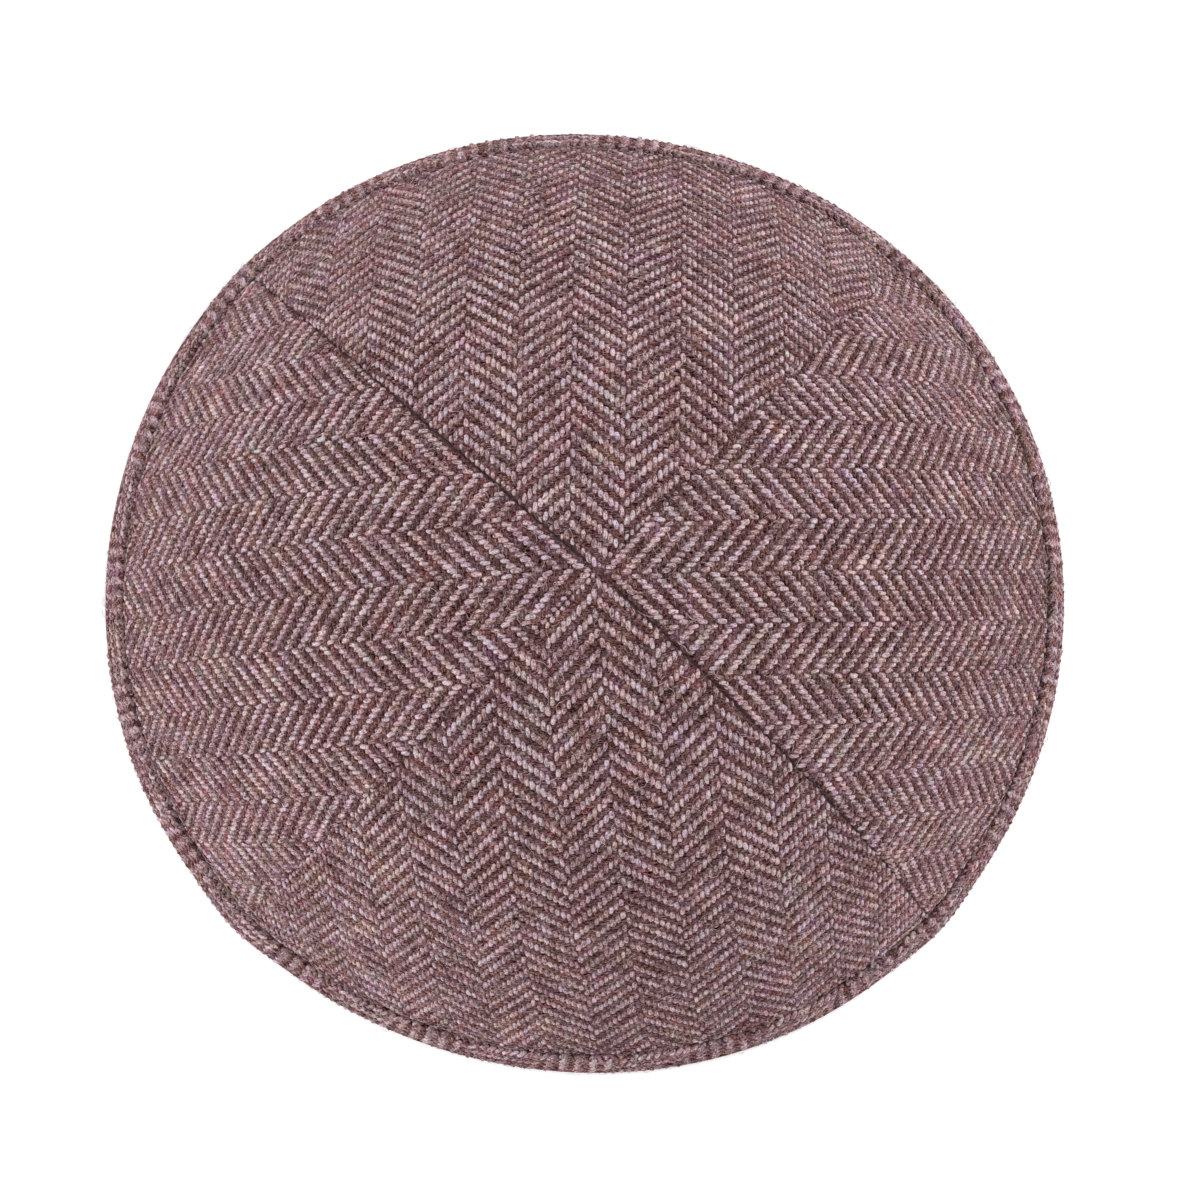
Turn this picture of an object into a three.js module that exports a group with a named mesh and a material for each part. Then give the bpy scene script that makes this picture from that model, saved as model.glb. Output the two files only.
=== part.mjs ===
// A kippah sewn from four tweed panels, with a bias-cut strip folded round its rim.
// Millimetres, +Z up, +Y towards the back panel. The origin is the middle of the rim,
// on the plane that the rim rests on.
import * as THREE from 'three';

// The crown's meridian from the apex down to the rim, as a chain of arcs. Each row has the
// radius that the cloth bends to, and the slope in degrees that the arc ends at.
const MERIDIAN = [
  { bend: 71.5, slope: 36 },
  { bend: 92, slope: 50 },
  { bend: 150, slope: 61 },
  { bend: 250, slope: 66.2 },
];

// The four seams, with their azimuths in degrees at the apex and at the rim, and how far
// the rim stands out in a small corner where the seam meets it.
const SEAMS = {
  back_right: { top: 45, rim: 46.7, corner: 0 },
  back_left: { top: 139.7, rim: 135.9, corner: 0.2 },
  front_left: { top: 225, rim: 223.3, corner: 0.7 },
  front_right: { top: 317, rim: 317.2, corner: 0.65 },
};

// The panels, each named with the seams at its two sides, counted anticlockwise.
const PANELS = [
  { name: 'panel_right', first: 'front_right', last: 'back_right' },
  { name: 'panel_back', first: 'back_right', last: 'back_left' },
  { name: 'panel_left', first: 'back_left', last: 'front_left' },
  { name: 'panel_front', first: 'front_left', last: 'front_right' },
];

// The rim seen from above is slightly oval and slightly square. Each row is one wave round
// the rim: how many times it repeats, its height as a share of the radius, and the azimuth
// in degrees of one of its crests.
const RIM_WAVES = [
  { repeats: 2, share: 0.0104, crest: -12.6 },
  { repeats: 4, share: 0.0037, crest: 32 },
];
const CORNER_SPREAD = 5; // degrees from a rim corner's crest to where it has mostly gone

const CLOTH = 1.6; // thickness of a panel
const SEAM_GAP = 0.3; // between two panels
const EDGE_GAP = 0.3; // between a panel's edge and the binding round it
const SEAM_ALLOWANCE = 7; // width of the turned-in cloth on each side of a seam
const ALLOWANCE_STEP = 1; // width over which the allowance's edge thins out
const ALLOWANCE_CLOTH = 1; // thickness that a pressed allowance adds inside

// How far a panel's outer face lies below the crown beside a seam, by distance from it.
const SEAM_ROLL = [
  { away: 0, below: 0.8 },
  { away: 0.9, below: 0.2 },
  { away: 4.5, below: 0 },
];

// The binding, folded round the panels' edge: its cloth, and how far its outer and inner
// legs reach up from the rim along the crown.
const BINDING = { cloth: 1.2, outerLeg: 6.4, innerLeg: 5.8, proud: 0.6, round: 0.9 };
const STITCHED_CLOTH = 1; // thickness of the panels' edge where the binding holds it
const EDGE_INSIDE = 2.5; // from the rim up to the panels' edge, hidden in the fold
const FOLD_ROOM = 0.4; // from the panels' edge down to the inside of the fold
const STEP_WIDTH = 0.9; // length over which a panel steps in before it meets the binding

// The grid of a panel. The columns near each seam keep their distance from it in
// millimetres, and no more than a share of the half width where the panel is narrow.
const SEAM_COLUMNS = [
  { away: 0, share: 0 },
  { away: 0.9, share: 0.12 },
  { away: 4.5, share: 0.4 },
  { away: SEAM_ALLOWANCE, share: 0.55 },
  { away: SEAM_ALLOWANCE + ALLOWANCE_STEP, share: 0.65 },
];
const MIDDLE_COLUMNS = 8;
const CROWN_ROWS = 15;
const RIM_ROWS = 2;

const radians = THREE.MathUtils.degToRad;
const length = MERIDIAN.reduce(
  (sum, arc, i) => sum + arc.bend * radians(arc.slope - (MERIDIAN[i - 1]?.slope ?? 0)), 0);
const bindingTop = length - BINDING.outerLeg;

// Radius, drop below the apex and slope in radians at a distance down the crown.
function meridianAt(distance) {
  let radius = 0;
  let drop = 0;
  let slope = 0;
  let left = distance;
  for (const arc of MERIDIAN) {
    const turn = Math.min(left / arc.bend, radians(arc.slope) - slope);
    radius += arc.bend * (Math.sin(slope + turn) - Math.sin(slope));
    drop += arc.bend * (Math.cos(slope) - Math.cos(slope + turn));
    slope += turn;
    left -= turn * arc.bend;
  }
  radius += left * Math.cos(slope);
  drop += left * Math.sin(slope);
  return { radius, drop, slope };
}
const RIM = meridianAt(length);

// How far out the crown stands at an azimuth in radians, as a factor on the radius.
function outlineFactor(azimuth, radius) {
  let share = 0;
  for (const wave of RIM_WAVES) {
    share += wave.share * Math.cos(wave.repeats * (azimuth - radians(wave.crest)));
  }
  for (const seam of Object.values(SEAMS)) {
    const turn = azimuth - radians(seam.rim);
    const away = Math.atan2(Math.sin(turn), Math.cos(turn)) / radians(CORNER_SPREAD);
    share += (seam.corner / RIM.radius) * Math.exp(-away * away);
  }
  return 1 + share * (radius / RIM.radius) ** 2;
}

// A point in the meridian's plane, set out round the crown at an azimuth in radians.
function setOut(radius, height, azimuth) {
  const reach = radius * outlineFactor(azimuth, radius);
  return new THREE.Vector3(reach * Math.cos(azimuth), reach * Math.sin(azimuth), height);
}

// The point at a distance down the crown and a depth below its outer face.
function crownPoint(distance, below, azimuth) {
  const at = meridianAt(distance);
  const radius = at.radius - below * Math.sin(at.slope);
  const height = RIM.drop - at.drop - below * Math.cos(at.slope);
  return setOut(radius, height, azimuth);
}

// A seam's azimuth in radians where the crown has this radius.
function seamAzimuth(seam, radius) {
  return radians(THREE.MathUtils.lerp(seam.top, seam.rim, Math.min(1, radius / RIM.radius)));
}

// The value of a column of a short table at a distance, on straight lines between its rows.
function between(rows, distance, from, value) {
  const next = rows.findIndex((row) => row[from] >= distance);
  if (next < 0) return rows[rows.length - 1][value];
  if (next === 0) return rows[0][value];
  const low = rows[next - 1];
  const share = (distance - low[from]) / (rows[next][from] - low[from]);
  return THREE.MathUtils.lerp(low[value], rows[next][value], share);
}

// Depth of a panel's outer face, which rolls into its seams and steps in at the binding.
function outerDepth(distance, away) {
  const step = [
    { at: bindingTop - EDGE_GAP - STEP_WIDTH, below: 0 },
    { at: bindingTop - EDGE_GAP, below: BINDING.cloth - BINDING.proud + EDGE_GAP },
  ];
  const stepped = between(step, distance, 'at', 'below');
  return Math.max(stepped, between(SEAM_ROLL, away, 'away', 'below'));
}

// Depth of a panel's inner face, with the pressed allowances, trimmed short of the binding.
function innerDepth(distance, away) {
  const allowance = [
    { away: SEAM_ALLOWANCE, cloth: ALLOWANCE_CLOTH },
    { away: SEAM_ALLOWANCE + ALLOWANCE_STEP, cloth: 0 },
  ];
  const stitched = [
    { at: bindingTop - EDGE_GAP - STEP_WIDTH, below: CLOTH, share: 1 },
    {
      at: bindingTop - EDGE_GAP,
      below: BINDING.cloth - BINDING.proud + EDGE_GAP + STITCHED_CLOTH,
      share: 0,
    },
  ];
  const cloth = between(stitched, distance, 'at', 'below');
  const trimmed = between(stitched, distance, 'at', 'share');
  return cloth + trimmed * between(allowance, away, 'away', 'cloth');
}

// A body from its points and a flat list of triangles, three places in the points for each.
function geometryOf(positions, triangles) {
  const geometry = new THREE.BufferGeometry();
  const numbers = positions.flatMap((point) => [point.x, point.y, point.z]);
  geometry.setAttribute('position', new THREE.Float32BufferAttribute(numbers, 3));
  geometry.setIndex(triangles);
  geometry.computeVertexNormals();
  return geometry;
}

// The distances down the crown of a panel's rows, below its tip.
function panelRows() {
  const crownEnd = bindingTop - EDGE_GAP - STEP_WIDTH;
  const rows = [];
  for (let i = 1; i <= CROWN_ROWS; i += 1) {
    rows.push(crownEnd * (i / CROWN_ROWS));
  }
  const hidden = bindingTop - EDGE_GAP;
  for (let i = 0; i < RIM_ROWS; i += 1) {
    rows.push(THREE.MathUtils.lerp(hidden, length - EDGE_INSIDE, i / (RIM_ROWS - 1)));
  }
  return rows;
}

// How far each column of a row lies from the panel's first side, and from its nearer side.
function panelColumns(width) {
  const half = width / 2;
  const side = SEAM_COLUMNS.map((column) => Math.min(column.away, column.share * half));
  const start = side[side.length - 1];
  const columns = [...side];
  for (let i = 1; i < MIDDLE_COLUMNS; i += 1) {
    columns.push(THREE.MathUtils.lerp(start, width - start, i / MIDDLE_COLUMNS));
  }
  columns.push(...side.toReversed().map((away) => width - away));
  return columns.map((along) => ({ along, away: Math.min(along, width - along) }));
}

// One panel: outer and inner faces on the same grid, joined round their edge.
function panelGeometry(first, last) {
  const halfSpan = (seamAzimuth(last, 0) - seamAzimuth(first, 0) + 2 * Math.PI) % (2 * Math.PI) / 2;
  const tipRadius = SEAM_GAP / 2 / Math.sin(halfSpan);
  const tipAzimuth = seamAzimuth(first, 0) + halfSpan;
  const positions = [
    crownPoint(tipRadius, outerDepth(tipRadius, 0), tipAzimuth),
    crownPoint(tipRadius, innerDepth(tipRadius, 0), tipAzimuth),
  ];
  const rows = panelRows();
  let columnCount = 0;
  for (const distance of rows) {
    const { radius } = meridianAt(distance);
    const margin = Math.asin(SEAM_GAP / 2 / radius);
    const start = seamAzimuth(first, radius) + margin;
    const turn = (seamAzimuth(last, radius) - margin - start + 2 * Math.PI) % (2 * Math.PI);
    const columns = panelColumns(radius * turn);
    columnCount = columns.length;
    for (const { along, away } of columns) {
      const azimuth = start + along / radius;
      positions.push(crownPoint(distance, outerDepth(distance, away), azimuth));
      positions.push(crownPoint(distance, innerDepth(distance, away), azimuth));
    }
  }
  // Each column of a row holds two vertices, the outer one and then the inner one.
  const vertex = (row, column, inner) => 2 + 2 * (row * columnCount + column) + inner;
  const triangles = [];
  const quad = (a, b, c, d) => triangles.push(a, b, c, a, c, d);
  const end = columnCount - 1;
  for (let j = 0; j < end; j += 1) {
    triangles.push(0, vertex(0, j, 0), vertex(0, j + 1, 0));
    triangles.push(1, vertex(0, j + 1, 1), vertex(0, j, 1));
  }
  quad(0, 1, vertex(0, 0, 1), vertex(0, 0, 0));
  quad(1, 0, vertex(0, end, 0), vertex(0, end, 1));
  for (let i = 0; i < rows.length - 1; i += 1) {
    for (let j = 0; j < end; j += 1) {
      quad(vertex(i, j, 0), vertex(i + 1, j, 0), vertex(i + 1, j + 1, 0), vertex(i, j + 1, 0));
      quad(vertex(i, j, 1), vertex(i, j + 1, 1), vertex(i + 1, j + 1, 1), vertex(i + 1, j, 1));
    }
    quad(vertex(i, 0, 0), vertex(i, 0, 1), vertex(i + 1, 0, 1), vertex(i + 1, 0, 0));
    quad(vertex(i, end, 1), vertex(i, end, 0), vertex(i + 1, end, 0), vertex(i + 1, end, 1));
  }
  const bottom = rows.length - 1;
  for (let j = 0; j < end; j += 1) {
    quad(vertex(bottom, j, 0), vertex(bottom, j, 1), vertex(bottom, j + 1, 1), vertex(bottom, j + 1, 0));
  }
  return geometryOf(positions, triangles);
}

// The binding's section in the meridian's plane, as points with a radius and a height. It
// is a fold round the panels' edge, cut level where it rests.
function bindingSection() {
  const { cloth, proud, round } = BINDING;
  const slope = RIM.slope;
  const onLeg = (up, below) => new THREE.Vector2(
    RIM.radius - up * Math.cos(slope) - below * Math.sin(slope),
    up * Math.sin(slope) - below * Math.cos(slope));
  const outer = -proud;
  const outerInside = cloth - proud;
  const innerInside = outerInside + 2 * EDGE_GAP + STITCHED_CLOTH;
  const inner = innerInside + cloth;
  const foldInside = EDGE_INSIDE - FOLD_ROOM;
  const corner = cloth / 3;
  // How far up the leg a line below the crown reaches a height.
  const upTo = (height, below) => (height + below * Math.cos(slope)) / Math.sin(slope);
  const footOut = onLeg(upTo(0, outer), outer).x - round;
  const footIn = onLeg(upTo(0, inner), inner).x + round;
  return [
    onLeg(BINDING.outerLeg, outerInside),
    onLeg(BINDING.outerLeg, outer + corner),
    onLeg(BINDING.outerLeg - corner, outer),
    onLeg(upTo(round, outer), outer),
    new THREE.Vector2(footOut + round / 2, round / 4),
    new THREE.Vector2(footOut, 0),
    new THREE.Vector2(footIn, 0),
    new THREE.Vector2(footIn - round / 2, round / 4),
    onLeg(upTo(round, inner), inner),
    onLeg(BINDING.innerLeg - corner, inner),
    onLeg(BINDING.innerLeg, inner - corner),
    onLeg(BINDING.innerLeg, innerInside),
    onLeg(foldInside, innerInside),
    onLeg(foldInside, outerInside),
  ];
}

// The azimuths of the binding's sections: those of the panels' columns at the rim.
function bindingAzimuths() {
  const azimuths = [];
  for (const { first, last } of PANELS) {
    const start = seamAzimuth(SEAMS[first], RIM.radius);
    const turn = (seamAzimuth(SEAMS[last], RIM.radius) - start + 2 * Math.PI) % (2 * Math.PI);
    const columns = panelColumns(RIM.radius * turn).slice(0, -1);
    azimuths.push(...columns.map(({ along }) => start + along / RIM.radius));
  }
  return azimuths;
}

function bindingGeometry() {
  const section = bindingSection();
  const azimuths = bindingAzimuths();
  const positions = azimuths.flatMap((azimuth) => section.map((p) => setOut(p.x, p.y, azimuth)));
  const triangles = [];
  for (let i = 0; i < azimuths.length; i += 1) {
    const here = i * section.length;
    const next = ((i + 1) % azimuths.length) * section.length;
    for (let j = 0; j < section.length; j += 1) {
      const k = (j + 1) % section.length;
      triangles.push(here + j, here + k, next + k, here + j, next + k, next + j);
    }
  }
  return geometryOf(positions, triangles);
}

const tweed = new THREE.MeshStandardMaterial({ color: '#816567', roughness: 0.95, metalness: 0 });
const bindingTweed = new THREE.MeshStandardMaterial({ color: '#7a5f61', roughness: 0.95, metalness: 0 });

const kippah = new THREE.Group();
for (const { name, first, last } of PANELS) {
  const panel = new THREE.Mesh(panelGeometry(SEAMS[first], SEAMS[last]), tweed);
  panel.name = name;
  kippah.add(panel);
}
const binding = new THREE.Mesh(bindingGeometry(), bindingTweed);
binding.name = 'edge_binding';
kippah.add(binding);

export default kippah;
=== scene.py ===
import math

import bpy
import numpy as np
from mathutils import Matrix, Vector


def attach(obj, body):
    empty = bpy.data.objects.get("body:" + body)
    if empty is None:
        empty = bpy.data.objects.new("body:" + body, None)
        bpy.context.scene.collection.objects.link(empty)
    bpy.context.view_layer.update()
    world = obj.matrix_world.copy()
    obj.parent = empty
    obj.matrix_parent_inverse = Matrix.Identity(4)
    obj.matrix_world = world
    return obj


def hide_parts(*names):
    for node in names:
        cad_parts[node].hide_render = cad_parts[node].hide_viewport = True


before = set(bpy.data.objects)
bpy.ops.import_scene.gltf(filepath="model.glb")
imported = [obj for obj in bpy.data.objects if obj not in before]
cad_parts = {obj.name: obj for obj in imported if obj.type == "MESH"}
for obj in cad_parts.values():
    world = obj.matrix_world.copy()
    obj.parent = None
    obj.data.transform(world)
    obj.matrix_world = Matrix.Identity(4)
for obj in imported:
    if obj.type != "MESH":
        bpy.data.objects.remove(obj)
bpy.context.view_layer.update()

# Crown panels
# Four triangles of herringbone wool tweed, sewn point to point into one dome. The seams
# are pressed open, so the cloth rolls down into each of them and its allowance lies
# flat inside. All lengths are in metres. A seam has its azimuth at the apex and at the
# rim, how far the rim stands out at it, and how wide its roll is at the apex and the rim.
MERIDIAN = ((0.0715, 36), (0.092, 50), (0.150, 61), (0.250, 66.2))  # bend, slope it ends at
SEAMS = {
    "back_right": {"top": 45, "rim": 46.7, "corner": 0, "roll": (0.00040, 0.00025)},
    "back_left": {"top": 139.7, "rim": 135.9, "corner": 0.0002, "roll": (0.00105, 0.00065)},
    "front_left": {"top": 225, "rim": 223.3, "corner": 0.0007, "roll": (0.00040, 0.00025)},
    "front_right": {"top": 317, "rim": 317.2, "corner": 0.00065, "roll": (0.00110, 0.00045)},
}
# The grain is the way the warp runs, in degrees. Pitch is the distance between yarns and
# shift the yarns that the weave is moved by, first across the warp, then along it. Across
# and along are how far a panel's cloth is drawn out of square, in millimetres at the
# reach from the apex: they grow with the distance the other way, the square of the
# distance across, the product of both, and the square of the distance along. All these
# numbers, and the two DOME values, were fitted to the photograph by scratch programs.
PANELS = {
    "right": {"first": "front_right", "last": "back_right", "grain": 2.5,
              "pitch": (0.0008693, 0.0008708), "shift": (19.06, 1.28),
              "across": (-0.50, 0.59, -1.94, 0.76), "along": (0.13, -2.74, -0.25, 2.31)},
    "back": {"first": "back_right", "last": "back_left", "grain": 91.0,
             "pitch": (0.0009122, 0.0007949), "shift": (15.08, 2.20),
             "across": (-1.34, -0.98, -2.11, -0.45), "along": (0.70, -2.06, -0.44, 1.02)},
    "left": {"first": "back_left", "last": "front_left", "grain": 184.1,
             "pitch": (0.0008892, 0.0009055), "shift": (19.36, 1.57),
             "across": (0.48, -0.66, -1.07, -0.48), "along": (-1.45, -2.29, 1.52, 4.29)},
    "front": {"first": "front_left", "last": "front_right", "grain": 276.2,
              "pitch": (0.0009145, 0.0008546), "shift": (19.70, 0.37),
              "across": (-2.53, 1.35, -1.86, 1.79), "along": (1.32, -2.41, -1.91, 2.97)},
}
DRAWN_REACH = 0.05
DOME_ACROSS = (-2.2, 0.7)  # in every panel, by the cube across, and across times the square along
DOME_ALONG = (4.7, -1.2)  # in every panel, by the square across times along, and the cube along
RIM_WAVES = ((2, 0.0104, -12.6), (4, 0.0037, 32))  # repeats, share of the radius, crest
CORNER_SPREAD = 5  # degrees
CROWN_LENGTH = sum(
    bend * math.radians(end - start)
    for (bend, end), start in zip(MERIDIAN, [0] + [end for _, end in MERIDIAN])
)
ROWS, COLUMNS = 52, 46  # of a panel's grid, where it has no edge
CLOTH = 0.0016
SEAM_GAP = 0.00003
SHARP_ROLL = 0.0007  # a seam with a wider roll shows as a dark furrow with no floats in it
SEAM_WALL = 0.0006  # how far the cloth goes on down below the roll
SEAM_DIP = 0.3  # of the roll, how far the cloth near a seam is drawn down
SEAM_DIP_WIDTH = 0.0022
ALLOWANCE = 0.007
ALLOWANCE_CLOTH = 0.001
ALLOWANCE_EDGE = 0.0006  # the width over which the allowance thins out
EDGE_INSIDE = 0.0025  # from the rim up to the panels' edge
STITCHED_CLOTH = 0.001
BINDING_HEIGHT = 0.0064
BINDING_CLOTH = 0.0012
BINDING_PROUD = 0.0006
STITCHED_DOWN = BINDING_CLOTH - BINDING_PROUD + 0.0002  # how deep the panels lie under the binding
STEP_START = CROWN_LENGTH - BINDING_HEIGHT - 0.0012  # where the panels turn down to get under it
STEP_LENGTH = 0.0009
# Each has its depth, its waves round the cap and their start, a wave's length down and its start.
SOFT_DIPS = ((0.00014, 3, 0.7, 0.012, 0.4), (0.00007, 7, 2.1, 0.008, 1.3))
UV_SIDE = 0.4  # metres of cloth in one unit of the UV map
UV_START = (0.5, 0.1)


def meridian(distance):
    """Radius, drop below the apex and slope at distances down the crown."""
    left = np.maximum(np.asarray(distance, float), 0)
    radius, drop, slope = np.zeros((3, *left.shape))
    for bend, end in MERIDIAN:
        turn = np.clip(math.radians(end) - slope, 0, left / bend)
        radius += bend * (np.sin(slope + turn) - np.sin(slope))
        drop += bend * (np.cos(slope) - np.cos(slope + turn))
        slope += turn
        left = left - turn * bend
    return radius + left * np.cos(slope), drop + left * np.sin(slope), slope


RIM_RADIUS, RIM_DROP, RIM_SLOPE = (float(value) for value in meridian(CROWN_LENGTH))


def outline(azimuth, radius):
    """How far out the crown stands at an azimuth, as a factor on its radius."""
    share = sum(h * np.cos(n * (azimuth - math.radians(crest))) for n, h, crest in RIM_WAVES)
    for seam in SEAMS.values():
        away = np.angle(np.exp(1j * (azimuth - math.radians(seam["rim"]))))
        share = share + seam["corner"] / RIM_RADIUS * np.exp(-((away / math.radians(CORNER_SPREAD)) ** 2))
    return 1 + share * (radius / RIM_RADIUS) ** 2


def set_out(radius, height, azimuth):
    reach = radius * outline(azimuth, radius)
    return np.stack([reach * np.cos(azimuth), reach * np.sin(azimuth), height + 0 * azimuth], axis=-1)


def crown_point(distance, below, azimuth):
    """A point at a distance down the crown and a depth below its outer face."""
    radius, drop, slope = meridian(distance)
    return set_out(radius - below * np.sin(slope), RIM_DROP - drop - below * np.cos(slope), azimuth)


def seam_azimuth(name, radius):
    seam = SEAMS[name]
    share = np.minimum(1, radius / RIM_RADIUS)
    return np.radians(seam["top"] + (seam["rim"] - seam["top"]) * share)


def crown_height(x, y):
    """Height of the crown's outer face over points of the plan."""
    distance = np.linspace(0, CROWN_LENGTH, 600)
    radii, drops, _ = meridian(distance)
    azimuth, reach = np.arctan2(y, x), np.hypot(x, y)
    mean = reach
    for _ in range(3):
        mean = reach / outline(azimuth, np.minimum(mean, RIM_RADIUS))
    return RIM_DROP - np.interp(mean, radii, drops)


class ClothMap:
    """Cloth coordinates over the plan: metres of cloth across and along the warp."""

    def __init__(self, panel):
        grain = math.radians(panel["grain"])
        self.step, self.low = 0.001, np.array([-0.095, -0.03])
        across, along = (np.arange(low, 0.0951, self.step) for low in self.low)
        self.way = np.array([math.cos(grain), math.sin(grain)])
        self.side = np.array([math.sin(grain), -math.cos(grain)])
        p, q = np.meshgrid(across, along, indexing="ij")
        x, y = (p * self.side[k] + q * self.way[k] for k in range(2))
        slope_p, slope_q = np.gradient(crown_height(x, y), self.step)
        u = self.summed(np.sqrt(1 + slope_p**2), 0, np.argmin(abs(across)))
        v = self.summed(np.sqrt(1 + slope_q**2), 1, np.argmin(abs(along)))
        a, b = u / DRAWN_REACH, v / DRAWN_REACH
        drawn_u = (b, a**2, a * b, b**2, a**3, a * b**2)
        drawn_v = (a, a**2, a * b, b**2, a**2 * b, b**3)
        self.u = u + 0.001 * sum(mm * part for mm, part in zip(panel["across"] + DOME_ACROSS, drawn_u))
        self.v = v + 0.001 * sum(mm * part for mm, part in zip(panel["along"] + DOME_ALONG, drawn_v))
        self.ways = {}
        for name, field in (("warp_way", self.u), ("weft_way", self.v)):
            by_p, by_q = np.gradient(field, self.step)
            way = np.stack([-by_q, by_p, -by_q * slope_p + by_p * slope_q], axis=-1)
            self.ways[name] = way / np.linalg.norm(way, axis=-1, keepdims=True)

    def summed(self, rate, axis, zero):
        """The rate added up along an axis, from nothing at one index."""
        steps = (np.take(rate, range(1, rate.shape[axis]), axis)
                 + np.take(rate, range(rate.shape[axis] - 1), axis)) / 2
        total = np.cumsum(steps, axis=axis) * self.step
        total = np.concatenate([np.zeros_like(np.take(total, [0], axis)), total], axis=axis)
        return total - np.take(total, [zero], axis)

    def at(self, field, xy):
        """The field's value at points of the plan."""
        place = (np.stack([xy @ self.side, xy @ self.way], axis=-1) - self.low) / self.step
        cell = np.clip(np.floor(place).astype(int), 0, np.array(self.u.shape) - 2)
        share = place - cell
        i, j = cell[..., 0], cell[..., 1]
        a, b = share[..., 0], share[..., 1]
        if field.ndim == 3:
            a, b = a[..., None], b[..., None]
        low = field[i, j] * (1 - a) + field[i + 1, j] * a
        high = field[i, j + 1] * (1 - a) + field[i + 1, j + 1] * a
        return low * (1 - b) + high * b

    def way_of(self, name, xy):
        """The direction of the warp or the weft on the crown over points of the plan."""
        way = self.at(self.ways[name], xy)
        flat = way[..., :1] * self.side + way[..., 1:2] * self.way
        return np.concatenate([flat, way[..., 2:]], axis=-1)


def panel_rows():
    """Distances down the crown of a panel's rows, closer together at the tip and the step."""
    hidden = CROWN_LENGTH - BINDING_HEIGHT
    tip = [0.00004, 0.0008, 0.0018]
    crown = np.linspace(0.003, STEP_START, ROWS)
    edge = [hidden - 0.0006, hidden - 0.0001, hidden + 0.0007, CROWN_LENGTH - EDGE_INSIDE]
    return np.concatenate([tip, crown, edge])


def soft_dips(distance, azimuth):
    """How far the soft cloth lies below the true dome, in slow uneven waves."""
    dips = sum(
        depth * (np.sin(waves * azimuth + turn) * np.sin(distance / length + start))
        for depth, waves, turn, length, start in SOFT_DIPS
    )
    near_rim = np.clip((CROWN_LENGTH - BINDING_HEIGHT - distance) / 0.012, 0, 1)
    return dips * (np.clip(distance / 0.03, 0, 1) * near_rim)


def rolled_edge(roll, width):
    """Where the outer face lies beside a seam, from the wall in it out to the flat: its
    distance from the seam, its depth, and the cloth that has gone into the roll."""
    roll = np.minimum(roll, 0.3 * width / 2)[:, None]
    gap = np.minimum(SEAM_GAP, 0.05 * width / 2)[:, None]
    turned = np.radians([90, 90, 68, 45, 22])[None, :]
    wall = SEAM_WALL * np.array([1, 0, 0, 0, 0])[None, :]
    away = gap + roll * (1 - np.sin(turned))
    taken = roll * (turned - np.sin(turned)) + wall
    return away, roll * (1 - np.cos(turned)) + wall, taken, gap + roll


def panel_grid(panel):
    """The panel's faces on a grid of rows down the crown and columns from seam to seam: for
    each vertex its azimuth, its depths on the outer and inner face, and how far the cloth
    of the outer face runs on past its place, where it rolls into a seam."""
    rows = panel_rows()
    radius = meridian(rows)[0]
    start = seam_azimuth(panel["first"], radius)
    turn = (seam_azimuth(panel["last"], radius) - start) % (2 * math.pi)
    width = radius * turn
    share = (radius / RIM_RADIUS) ** 1.5
    ends = (SEAMS[panel[end]]["roll"] for end in ("first", "last"))
    rolls = [top + (rim - top) * share for top, rim in ends]
    (away_1, below_1, extra_1, edge_1), (away_2, below_2, extra_2, edge_2) = (
        rolled_edge(roll, width) for roll in rolls
    )
    middle = edge_1 + (width[:, None] - edge_1 - edge_2) * np.linspace(0, 1, COLUMNS)[None, :]
    none = np.zeros_like(middle)
    along = np.concatenate([away_1, middle, width[:, None] - away_2[:, ::-1]], axis=1)
    below = np.concatenate([below_1, none, below_2[:, ::-1]], axis=1)
    extra = np.concatenate([-extra_1, none, extra_2[:, ::-1]], axis=1)
    azimuth = start[:, None] + along / radius[:, None]
    for roll, away in zip(rolls, (along, width[:, None] - along)):
        below = below + SEAM_DIP * roll[:, None] * np.exp(-((away / SEAM_DIP_WIDTH) ** 2))
    dips = soft_dips(rows[:, None], azimuth)
    hidden = np.clip((rows - STEP_START) / STEP_LENGTH, 0, 1)[:, None]
    outer = np.maximum(below + dips, hidden * STITCHED_DOWN)
    away = np.minimum(along, width[:, None] - along)
    pressed = np.clip((ALLOWANCE + ALLOWANCE_EDGE - away) / ALLOWANCE_EDGE, 0, 1) * (1 - hidden)
    stitched = hidden * (STITCHED_DOWN + STITCHED_CLOTH - CLOTH)
    inner = CLOTH + dips + pressed * ALLOWANCE_CLOTH + stitched
    return {"rows": rows, "azimuth": azimuth, "outer": outer, "inner": inner, "extra": extra}


def grid_quads(rows, columns, first=0):
    """The faces of a grid of points, row by row."""
    i, j = np.meshgrid(np.arange(rows - 1), np.arange(columns - 1), indexing="ij")
    a = first + i * columns + j
    return np.stack([a, a + columns, a + columns + 1, a + 1], axis=-1).reshape(-1, 4)


def mesh_of(name, points, faces, corners=None, start=UV_START):
    """A smooth mesh, with the cloth coordinates of its faces' corners as its UV map."""
    mesh = bpy.data.meshes.new(name)
    mesh.from_pydata(points.reshape(-1, 3).tolist(), [], faces.tolist())
    mesh.shade_smooth()
    if corners is not None:
        places = corners.reshape(-1, 2) / UV_SIDE + np.array(start)
        mesh.uv_layers.new(name="cloth").uv.foreach_set("vector", places.astype(np.float32).ravel())
    return mesh


def name_values(mesh, name, values):
    """Stores one number or one vector for each point of a mesh."""
    kind, key = ("FLOAT", "value") if values.ndim == 1 else ("FLOAT_VECTOR", "vector")
    mesh.attributes.new(name, kind, "POINT").data.foreach_set(key, values.astype(np.float32).ravel())


def add_object(name, data):
    made = bpy.data.objects.new(name, data)
    bpy.context.scene.collection.objects.link(made)
    return made


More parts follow.
